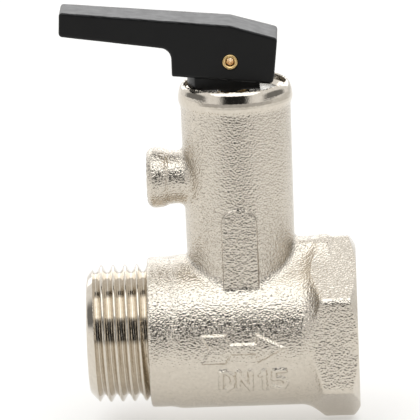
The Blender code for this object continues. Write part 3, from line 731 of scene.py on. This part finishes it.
def build_spindle():
    step = 0.16

    def field(x, y, z):
        wall = np.hypot(x - X_TOWER, y)
        rod = wall - ramp(z, [(15.6, 1.3), (15.9, 1.6), (18.2, 1.6), (18.6, 2.0)])
        rod = np.maximum(rod, np.maximum(15.6 - z, z - 39.4))
        u, w = x - X_PIN, z - Z_PIN
        eye = np.hypot(u, w)
        tongue = np.where(w > 0, eye - 2.6, np.maximum(eye - 2.6, np.abs(u) - 2.6))
        strap = np.maximum(np.abs(u) - 2.2, np.maximum(w, 38.2 - z))
        tongue = round_intersection(np.minimum(tongue, strap), np.abs(y) - 1.9, 0.25)
        body = round_union(rod, tongue, 0.3)
        return round_intersection(body, -(eye - (R_PIN + 0.3)), 0.12)

    axes = (graded(X_TOWER - 3.4, X_TOWER + 2.6, step, []), graded(-2.3, 2.3, step, []),
            graded(15.2, 45.8, step, []))
    obj = mesh_object("spindle_rod", *contour(field, axes))
    brass = turned_metal("turned_brass", (0.66, 0.46, 0.21), (0.77, 0.57, 0.29), 0.24, 0.36, "Z")
    return place_piece(obj, "spindle", brass)


def coil(name, mean, wire, turns, start, end, axis, centre, steps, around):
    """A compression spring with closed end turns."""
    low, high = start + wire, end - wire
    dead, pitch = 0.8, 2 * wire + 0.06
    total = turns + 2 * dead
    count = round(total * steps)
    t = np.linspace(0, total, count + 1)
    rise = pitch * dead
    level = np.interp(t, [0, dead, total - dead, total], [low, low + rise, high - rise, high])
    turn = np.linspace(0, math.tau, around, endpoint=False)
    radius = mean + wire * np.cos(turn)[None]
    angle = math.tau * t[:, None]
    c, s = radius * np.cos(angle), radius * np.sin(angle)
    d = level[:, None] + wire * np.sin(turn)[None]
    verts = np.stack({"X": (d, c, s), "Z": (c, s, d)}[axis], -1).reshape(-1, 3) + centre
    faces = [list(range(around))[::-1], list(range(len(verts) - around, len(verts)))]
    for i in range(count):
        for k in range(around):
            n = (k + 1) % around
            a, b = around * i, around * (i + 1)
            faces.append([a + k, a + n, b + n, b + k])
    return face_outwards(mesh_object(name, verts, faces, 50))


def build_springs():
    steel = turned_metal("spring_steel", (0.50, 0.50, 0.50), (0.66, 0.66, 0.67), 0.2, 0.32, "Z")
    main = coil("relief_coil", 4.3, 0.6, 5.0, 17.3, 32.4, "Z", (X_TOWER, 0, 0), 48, 16)
    place_piece(main, "relief_spring", steel)
    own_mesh(main)
    small = coil("check_coil", 1.95, 0.25, 4.0, 2.1, 7.0, "X", (X_CHECK_SEAT, 0, 0), 40, 12)
    place_piece(small, "check_spring", steel)
    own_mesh(small)


def ring(name, node, mean, wire, centre, axis, material):
    angles = np.linspace(0, math.tau, 20, endpoint=False)
    profile = [(mean + wire * math.cos(a), wire * math.sin(a)) for a in angles]
    return place_piece(lathe(name, profile, axis, centre, 96), node, material)


def build_small_pieces():
    rubber = soft_black("valve_rubber", (0.018, 0.018, 0.019))
    ring("stem_o_ring", "spindle_o_ring", 2.78, 0.58, (X_TOWER, 0, 37.6 - 1.95), "Z", rubber)
    ring("sleeve_o_ring", "check_o_ring", 6.9, 0.56, (X_CHECK_SEAT + 1.75, 0, 0), "X", rubber)
    dress = {
        "seal_disc": rubber, "check_seal": rubber,
        "disc_holder": turned_metal("holder_brass", (0.62, 0.44, 0.20), (0.74, 0.54, 0.27), 0.28, 0.4, "Z"),
        "spring_washer": turned_metal("washer_steel", (0.52, 0.52, 0.52), (0.66, 0.66, 0.66), 0.25,
                                      0.38, "Z"),
        "check_retainer": turned_metal("retainer_steel", (0.50, 0.50, 0.50), (0.64, 0.64, 0.64), 0.22,
                                       0.34, "X"),
        "check_housing": moulded_white("sleeve_plastic", (0.78, 0.78, 0.74)),
        "check_guide": moulded_white("guide_plastic", (0.76, 0.76, 0.72)),
        "check_poppet": moulded_white("poppet_plastic", (0.72, 0.73, 0.72)),
    }
    for node, material in dress.items():
        mesh = frame["nodes"][node].data
        mesh.materials.clear()
        mesh.materials.append(material)


# ---------------------------------------------------------------- studio
TARGET = Vector((-0.020, 0.0, 0.018))
SENSOR_MM, FRAME_PX = 36.0, 420.0
FOCAL_PX, CENTRE_X_PX, CENTRE_Y_PX = 5647.2, 222.995, 215.392    # fitted to the photo
DARK = 0.02                   # strength of the tent where it is open


def look_at(obj, place, target, roll=0.0):
    obj.location = place
    turn = (Vector(target) - Vector(place)).to_track_quat("-Z", "Y").to_matrix()
    obj.rotation_euler = (turn @ Matrix.Rotation(math.radians(roll), 3, "Z")).to_euler()


def around(azimuth, elevation, distance):
    """A point seen from the target: azimuth 0 is the camera's side (-Y), 90 is +X."""
    a, e = math.radians(azimuth), math.radians(elevation)
    return TARGET + distance * Vector((math.sin(a) * math.cos(e), -math.cos(a) * math.cos(e), math.sin(e)))


def softbox(name, azimuth, elevation, distance, width, height, watts, colour=(1, 1, 1)):
    light = bpy.data.lights.new(name, "AREA")
    light.shape = "RECTANGLE"
    light.size, light.size_y = width, height
    light.energy = watts
    light.color = colour
    obj = bpy.data.objects.new(name, light)
    bpy.context.scene.collection.objects.link(obj)
    look_at(obj, around(azimuth, elevation, distance), TARGET)
    return obj


def studio_world():
    """A white tent of light, dark low down on the camera's side and at the far left and right."""
    world = bpy.data.worlds.new("studio")
    world.use_nodes = True
    tree = world.node_tree
    split = tree.nodes.new("ShaderNodeSeparateXYZ")
    tree.links.new(tree.nodes.new("ShaderNodeTexCoord").outputs["Generated"], split.inputs[0])

    def fade(output, start, end):
        node = tree.nodes.new("ShaderNodeMapRange")
        node.interpolation_type = "SMOOTHSTEP"
        node.inputs["From Min"].default_value, node.inputs["From Max"].default_value = start, end
        tree.links.new(output, node.inputs["Value"])
        return node.outputs["Result"]

    low, near = fade(split.outputs["Z"], 0.72, 0.55), fade(split.outputs["Y"], -0.35, -0.65)

    def maths(operation, a, b=0.0):
        node = tree.nodes.new("ShaderNodeMath")
        node.operation = operation
        for socket, value in zip(node.inputs, (a, b)):
            if isinstance(value, float):
                socket.default_value = value
            else:
                tree.links.new(value, socket)
        return node.outputs[0]

    sideways = maths("ABSOLUTE", split.outputs["X"])
    opening = maths("MULTIPLY", maths("MULTIPLY", low, near), fade(sideways, 0.62, 0.30))
    flank = maths("MULTIPLY", maths("MULTIPLY", fade(sideways, 0.80, 0.92), low), 0.8)
    flank = maths("MULTIPLY", flank, fade(split.outputs["Z"], 0.02, 0.10))
    darkest = maths("MAXIMUM", opening, flank)
    strength = tree.nodes.new("ShaderNodeMapRange")
    strength.inputs["To Min"].default_value, strength.inputs["To Max"].default_value = 1.0, DARK
    tree.links.new(darkest, strength.inputs["Value"])
    tree.links.new(strength.outputs["Result"], tree.nodes["Background"].inputs["Strength"])
    tree.nodes["Background"].inputs["Color"].default_value = (1, 1, 1, 1)
    return world


def build_studio():
    scene = bpy.context.scene
    camera = bpy.data.cameras.new("camera")
    camera.sensor_width = SENSOR_MM
    camera.lens = SENSOR_MM * FOCAL_PX / FRAME_PX
    camera.shift_x = -(CENTRE_X_PX - FRAME_PX / 2) / FRAME_PX
    camera.shift_y = (CENTRE_Y_PX - FRAME_PX / 2) / FRAME_PX
    camera.clip_end = 20.0
    eye = bpy.data.objects.new("camera", camera)
    scene.collection.objects.link(eye)
    look_at(eye, around(1.341, 13.8555, 0.8603), TARGET, -2.226)
    scene.camera = eye

    scene.world = studio_world()

    n = Nodes("floor_painted_shade_and_glow")
    across = n.add("ShaderNodeSeparateXYZ")
    n.link(n.place, across.inputs[0])
    # painted shade: the floor colour is darker towards the front (-Y) and the right (+X), so the metal
    # reflects a dark front and right side
    front = n.span(across.outputs["Y"], -0.24, -0.08)
    right = n.span(across.outputs["X"], 0.24, 0.09, 0.4, 1.0)
    n.colours(n.maths("MULTIPLY", front, right), (0.0, (0.10, 0.10, 0.098)), (1.0, (0.58, 0.575, 0.565)))
    # painted light: the floor glows (emission 0.38), which lightens the shadows under the object
    n.finish(n.bump(n.noise(900, 2.0), 0.0001, 0.02), 0.9, Emission_Color=(1.0, 0.985, 0.955, 1.0),
             Emission_Strength=0.38)
    low, reach = -0.01440, 6
    corners = [(-reach, -reach, low), (reach, -reach, low), (reach, reach, low), (-reach, reach, low)]
    floor = mesh_object("floor", np.array(corners) / MM, [(0, 1, 2, 3)])
    floor.data.materials.append(n.material)

    softbox("key", 0, 65, 1.0, 1.4, 0.80, 4.3, (0.94, 0.975, 1.0))
    softbox("back", 180, 22, 1.5, 2.4, 0.7, 6.0)

    scene.view_settings.view_transform = "Standard"
    scene.view_settings.look = "None"
    scene.view_settings.exposure = 0.0


build_casting()
build_lever()
build_pin()
build_plug()
build_spindle()
build_springs()
build_small_pieces()
build_studio()
